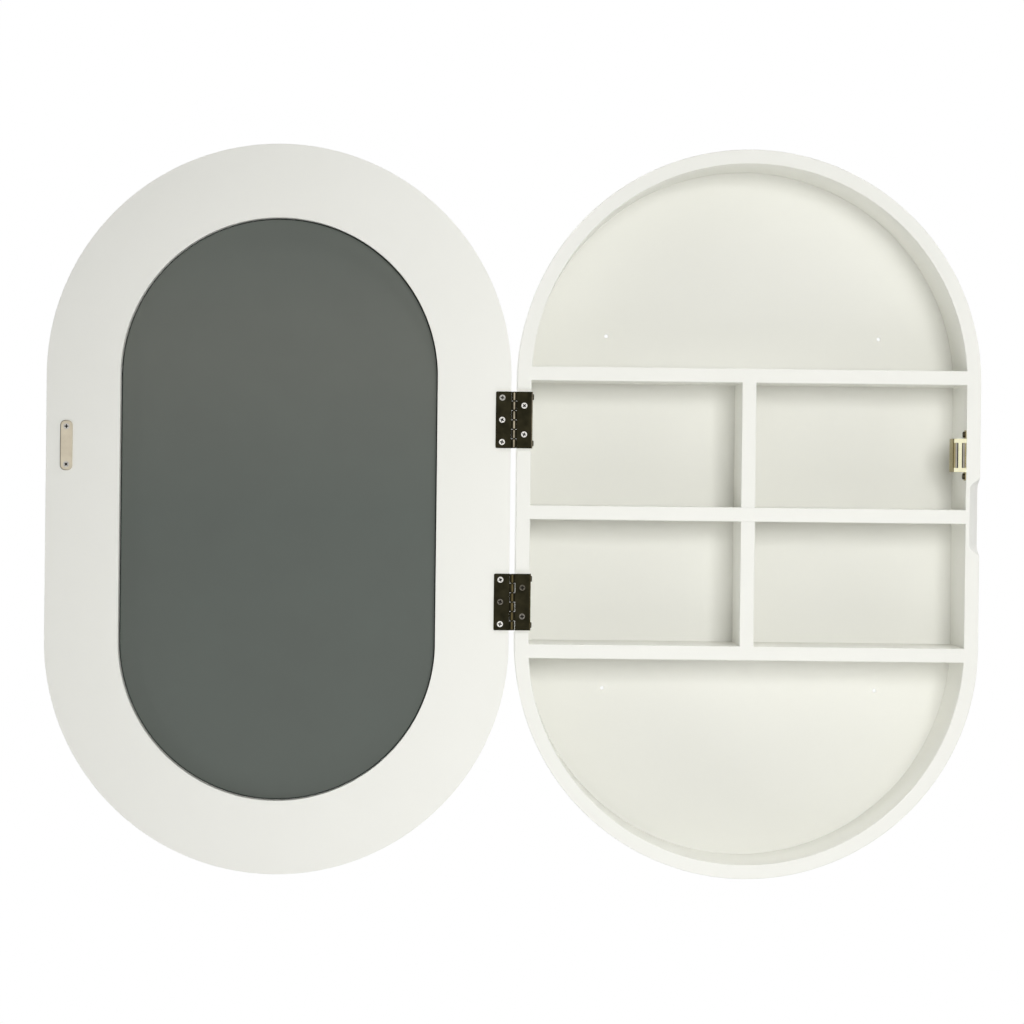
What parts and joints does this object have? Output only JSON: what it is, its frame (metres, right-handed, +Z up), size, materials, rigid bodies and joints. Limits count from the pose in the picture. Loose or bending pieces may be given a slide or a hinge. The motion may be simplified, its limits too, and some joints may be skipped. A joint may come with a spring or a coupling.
{
  "type": "mirror cabinet",
  "caption": "Pill-shaped wall cabinet with a side-hung mirror door on butt hinges, open shelves, a divider, a finger notch and a magnetic catch.",
  "frame": {"origin": "middle of the four wall screw holes, on the cabinet's back in the plane of the wall", "axes": "+X to the right seen from the front, +Y into the wall, +Z up"},
  "size_m": [0.8254, 0.1054, 0.645],
  "materials": {
    "painted_board": "satin off-white paint on board",
    "beech": "raw dowel wood",
    "mirror": "polished",
    "backing_paint": "grey protective paint on the mirror's back",
    "foam_tape": "black foam tape",
    "dark_bronze": "polished dark bronze plating",
    "nickel_screw": "nickel plated",
    "dark_screw": "dark bronze plating",
    "gilt_steel": "brass plated sheet",
    "pole_steel": "bare steel",
    "ferrite": "ferrite block",
    "champagne_steel": "champagne plated, satin"
  },
  "bodies": {
    "cabinet": {"top_arch": "painted_board", "bottom_arch": "painted_board", "left_side_panel": "painted_board", "right_side_panel": "painted_board", "rear_panel": "painted_board", "top_shelf": "painted_board", "middle_shelf": "painted_board", "bottom_shelf": "painted_board", "divider": "painted_board", "carcass_dowels": "beech", "shelf_dowels": "beech", "rear_panel_screws": "nickel_screw", "upper_cabinet_leaf": "dark_bronze", "lower_cabinet_leaf": "dark_bronze", "upper_hinge_pin": "dark_bronze", "lower_hinge_pin": "dark_bronze", "upper_face_screws": "nickel_screw", "lower_face_screws": "nickel_screw", "upper_flange_screws": "dark_screw", "lower_flange_screws": "dark_screw", "catch_housing": "gilt_steel", "catch_screws": "dark_screw"},
    "door": {"door_frame": "painted_board", "mirror_glass": "mirror", "mirror_backing": "backing_paint", "mirror_tape": "foam_tape", "upper_door_leaf": "dark_bronze", "lower_door_leaf": "dark_bronze", "upper_door_screws": "nickel_screw", "lower_door_screws": "nickel_screw", "strike_plate": "champagne_steel", "strike_screws": "nickel_screw"},
    "catch_core": {"catch_pole_plates": "pole_steel", "catch_magnet": "ferrite"}
  },
  "joints": [
    {"name": "door_swing", "type": "hinge", "parent": "cabinet", "child": "door", "pos_m": [-0.2077, -0.103, 0], "axis": [0, 0, 1], "range_deg": [-10, 180]},
    {"name": "catch_float", "type": "slide", "parent": "cabinet", "child": "catch_core", "axis": [0, -1, 0], "range_m": [0, 0.0009]}
  ]
}
